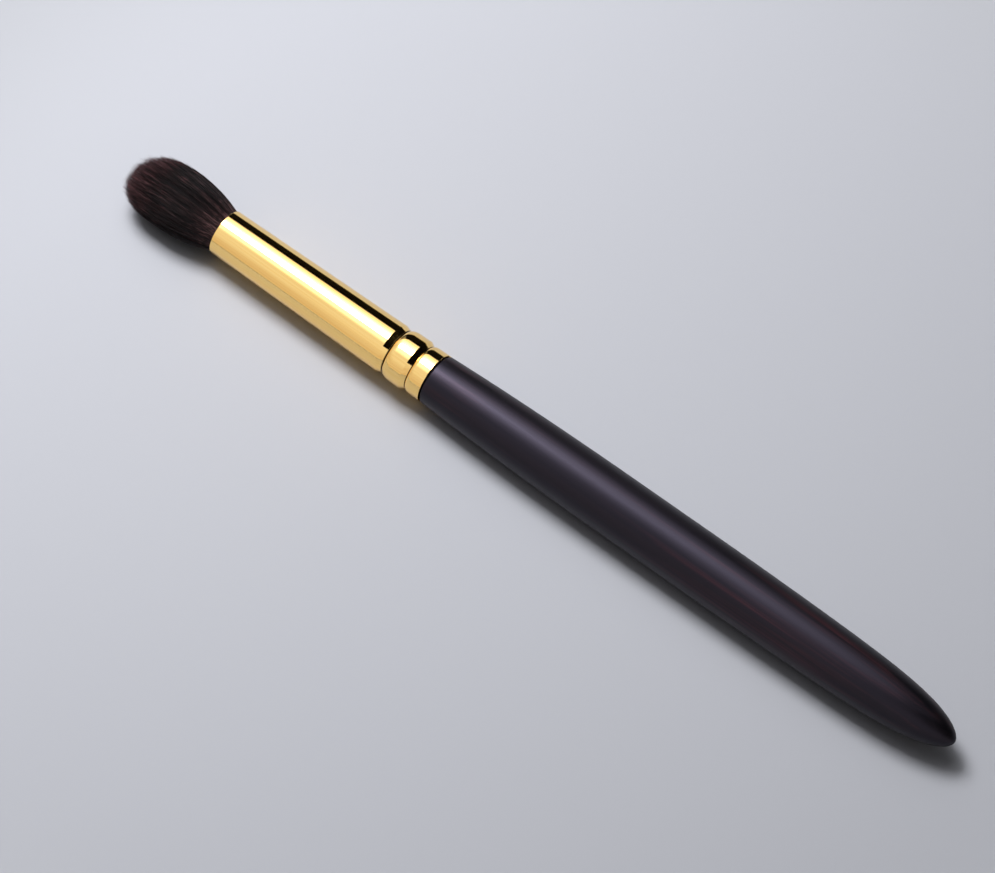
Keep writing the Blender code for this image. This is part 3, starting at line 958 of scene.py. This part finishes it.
# %% [markdown]
# ## The hairs' meshes
#
# Every hair is a closed three-sided tube that tapers to a fine end. Thousands of curve objects would be
# slow, so the points of all tubes are worked out at once in arrays, and the faces follow from counting.
# The bundle is three meshes, an inner, a middle and an outer one, so that none is too large for an
# exporter.

# %% The faces of many tubes
SECTION_SIDES = 3


def tube_faces(count):
    """The faces of that many closed tubes, each a row of rings with SECTION_SIDES points."""
    per_hair = STATIONS * SECTION_SIDES
    first = np.arange(count)[:, None] * per_hair
    faces = []
    for station in range(STATIONS - 1):
        for side in range(SECTION_SIDES):
            after = (side + 1) % SECTION_SIDES
            low = station * SECTION_SIDES
            high = low + SECTION_SIDES
            faces.append(first + np.array([low + side, low + after, high + after, high + side]))
    quads = np.stack(faces, axis=1).reshape(-1, 4).tolist()
    root_caps = (first + np.array([2, 1, 0])).tolist()
    tip_caps = (first + per_hair - SECTION_SIDES + np.array([0, 1, 2])).tolist()
    return quads + root_caps + tip_caps


print("faces of one hair:", len(tube_faces(1)))

# %% Hairs as meshes
TAPER_START_SHARE = 0.7
ROOT_THINNESS_SHARE = 0.75
TIP_THINNESS_SHARE = 0.2
MAP_WIDTH_SHARE = 0.012
MAP_LOW = 0.02
MAP_HIGH = 0.98

thinness = [ROOT_THINNESS_SHARE, 1, TIP_THINNESS_SHARE]
thickness = np.interp(steps, [0, TAPER_START_SHARE, 1], thinness) * HAIR_RADIUS


def hair_piece(name, members):
    """One mesh with a closed, tapering tube for each of the hairs that members picks."""
    lines = centres[members]
    line_levels = levels[members]
    count = len(lines)
    turns = 2 * pi * np.arange(SECTION_SIDES) / SECTION_SIDES
    starts = random.random(count) * 2 * pi
    angles = starts[:, None] + turns[None]
    ring = np.stack([np.cos(angles), np.sin(angles)], axis=2)
    points = np.empty((count, STATIONS, SECTION_SIDES, 3))
    points[..., :2] = lines[:, :, None] + ring[:, None] * thickness[None, :, None, None]
    points[..., 2] = line_levels[:, :, None]
    mesh = bpy.data.meshes.new(name)
    mesh.from_pydata(points.reshape(-1, 3).tolist(), [], tube_faces(count))
    mesh.materials.append(hair_material)

    point_tones = np.repeat(tones[members], STATIONS * SECTION_SIDES)
    point_along = np.tile(np.repeat(steps, SECTION_SIDES), count)
    mesh.attributes.new("tone", "FLOAT", "POINT").data.foreach_set("value", point_tones)
    mesh.attributes.new("along", "FLOAT", "POINT").data.foreach_set("value", point_along)
    side_shift = np.tile(np.arange(SECTION_SIDES) / SECTION_SIDES - 0.5, count * STATIONS)
    map_u = np.clip(point_tones, MAP_LOW, MAP_HIGH) + MAP_WIDTH_SHARE * side_shift
    corners = np.empty(len(mesh.loops), dtype=np.int32)
    mesh.loops.foreach_get("vertex_index", corners)
    map_places = np.stack([map_u[corners], point_along[corners]], axis=1)
    mesh.uv_layers.new(name=HAIR_MAP).uv.foreach_set("vector", map_places.ravel())
    mesh.shade_smooth()

    piece = bpy.data.objects.new(name, mesh)
    lay_down(piece)
    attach(piece, "root")
    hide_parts("hair_tuft")
    print(name, "has", count, "hairs and", len(mesh.polygons), "faces")
    return piece


place_radius = np.linalg.norm(root_places, axis=1)
inner_edge = sqrt(1 / 3)
outer_edge = sqrt(2 / 3)
hair_piece("hair_inner", np.flatnonzero(place_radius < inner_edge))
hair_piece("hair_middle", np.flatnonzero((place_radius >= inner_edge) & (place_radius < outer_edge)))
hair_piece("hair_outer", np.flatnonzero(place_radius >= outer_edge))

# %% [markdown]
# ## What the ferrule hides
#
# The hair's roots stand in a block of set resin, tied with cotton thread, and the tenon is bedded in
# epoxy. Their solids already have the right shape, so they stay, and each gets the material of the real
# thing. The roots in the resin are drawn about twice as wide as real hairs.

# %% Resin, cotton and epoxy
FIBRE_WIDTH = 0.12 * MM
FIBRE_LENGTH = 12 * MM
TWIST_LENGTH = 0.4 * pi * MM
THREAD_TURN = (0.6, 0.4, 0.3)
BUBBLE_SIZE = 0.5 * MM
# How far apart Blender's wave texture draws its bands at scale 1
BAND_SPACING = 2 * pi / 20

resin, tree, shader, place = new_material("resin_soaked_hair_roots")
fibre_place = add(tree, "Mapping", {
    "Vector": place,
    "Scale": (1 / FIBRE_LENGTH, 1 / FIBRE_WIDTH, 1 / FIBRE_WIDTH),
})
fibres = add(tree, "TexNoise", {"Vector": fibre_place.outputs["Vector"], "Scale": 1.0, "Detail": 2.0})
resin_colour = add(
    tree,
    "Mix",
    {MIX_FACTOR: fibres.outputs[0], MIX_A: linear("#2A1A12"), MIX_B: linear("#A87A3C")},
    data_type="RGBA",
)
tree.links.new(resin_colour.outputs[MIX_RESULT], shader.inputs["Base Color"])
shader.inputs["Roughness"].default_value = 0.35

cotton, tree, shader, place = new_material("twisted_cotton_thread")
ply_place = add(tree, "Mapping", {"Vector": place, "Rotation": THREAD_TURN})
plies = add(tree, "TexWave", {
    "Vector": ply_place.outputs["Vector"],
    "Scale": BAND_SPACING / TWIST_LENGTH,
    "Distortion": 1.0,
    "Detail": 2.0,
})
cotton_colour = add(
    tree,
    "Mix",
    {MIX_FACTOR: plies.outputs[0], MIX_A: linear("#B8AE98"), MIX_B: linear("#D9D1BF")},
    data_type="RGBA",
)
ply_bump = add(tree, "Bump", {"Height": plies.outputs[0], "Strength": 0.5, "Distance": 0.05 * MM})
tree.links.new(cotton_colour.outputs[MIX_RESULT], shader.inputs["Base Color"])
tree.links.new(ply_bump.outputs["Normal"], shader.inputs["Normal"])
shader.inputs["Roughness"].default_value = 0.85

epoxy, tree, shader, place = new_material("set_epoxy_glue")
bubbles = add(tree, "TexVoronoi", {"Vector": place, "Scale": 1 / BUBBLE_SIZE})
epoxy_colour = add(
    tree,
    "Mix",
    {MIX_FACTOR: bubbles.outputs["Distance"], MIX_A: linear("#E2D3A0"), MIX_B: linear("#C9B06C")},
    data_type="RGBA",
)
tree.links.new(epoxy_colour.outputs[MIX_RESULT], shader.inputs["Base Color"])
shader.inputs["Roughness"].default_value = 0.25

for node_name, material in (("root_plug", resin), ("binding_thread", cotton), ("tenon_glue", epoxy)):
    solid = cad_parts[node_name]
    solid.data.materials.clear()
    solid.data.materials.append(material)
    print(node_name, "wears", material.name)

# %% [markdown]
# ## The slice that the hair stands in
#
# The top of the resin belongs to the same solid as the hair, which the fine hairs replace, so it is made
# again here, as a turned disc. The hairs' roots end inside it.

# %% The slice of resin
SLICE_RADIUS = 3.4 * MM
SLICE_TOP = MOUTH - 2 * MM
SLICE_BOTTOM = MOUTH - 3 * MM

slice_outline = [
    (0, SLICE_TOP, 0),
    (SLICE_RADIUS, SLICE_TOP, 0),
    (SLICE_RADIUS, SLICE_BOTTOM, 0),
    (0, SLICE_BOTTOM, 0),
]
root_slice = turned("root_slice", rounded(slice_outline), resin)
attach(root_slice, "root")
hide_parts("hair_tuft")
